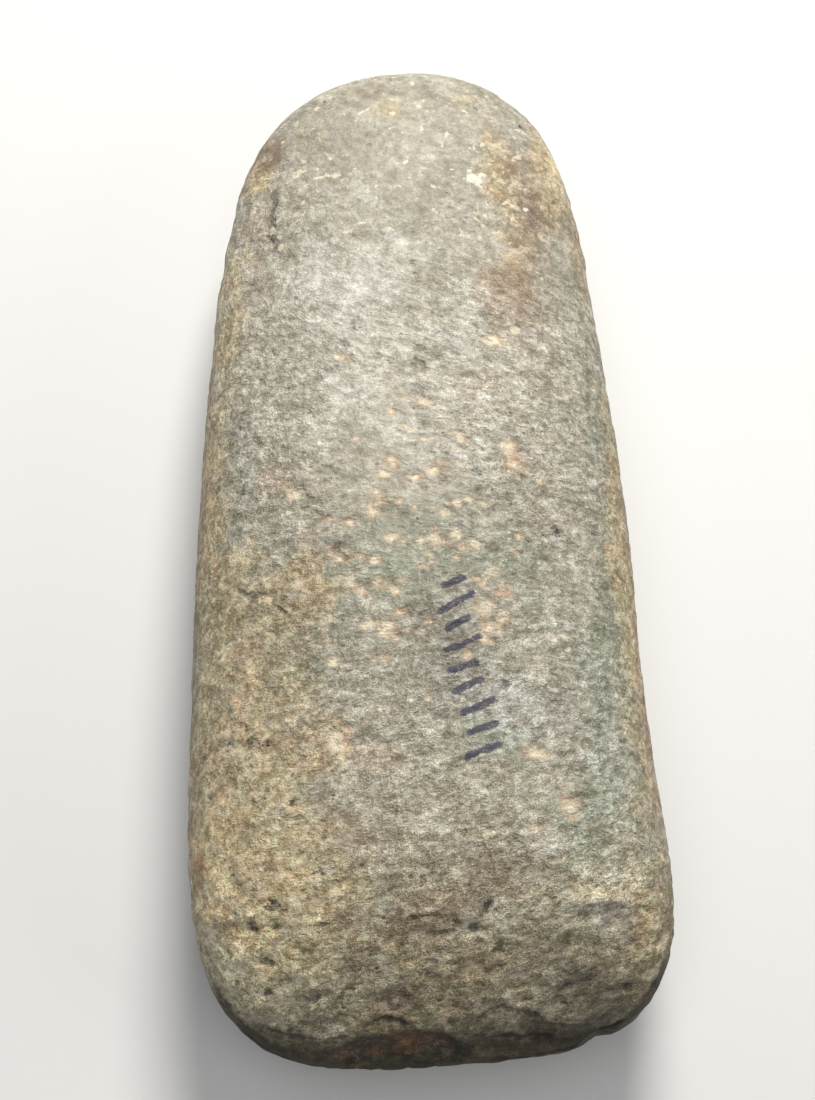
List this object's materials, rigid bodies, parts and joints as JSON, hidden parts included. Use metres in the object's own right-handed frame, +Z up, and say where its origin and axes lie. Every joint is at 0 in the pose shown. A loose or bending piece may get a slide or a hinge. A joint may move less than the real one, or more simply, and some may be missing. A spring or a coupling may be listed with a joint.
{
  "type": "polished stone axe head",
  "caption": "Ground stone axe head with broad rounded faces, a wide blunted cutting edge between short bevels and a narrower rounded butt.",
  "frame": {"origin": "middle of the ground that the axe covers, on the flat that it rests on", "axes": "+Y from the worn cutting edge to the narrow butt, +Z up through the upper broad face, +X to the right for someone who looks from the cutting edge to the butt"},
  "size_m": [0.065, 0.15, 0.039],
  "materials": {
    "stone": "ground and weathered, satin where the grinding is left"
  },
  "bodies": {
    "root": {"axe_head": "stone"}
  },
  "joints": []
}
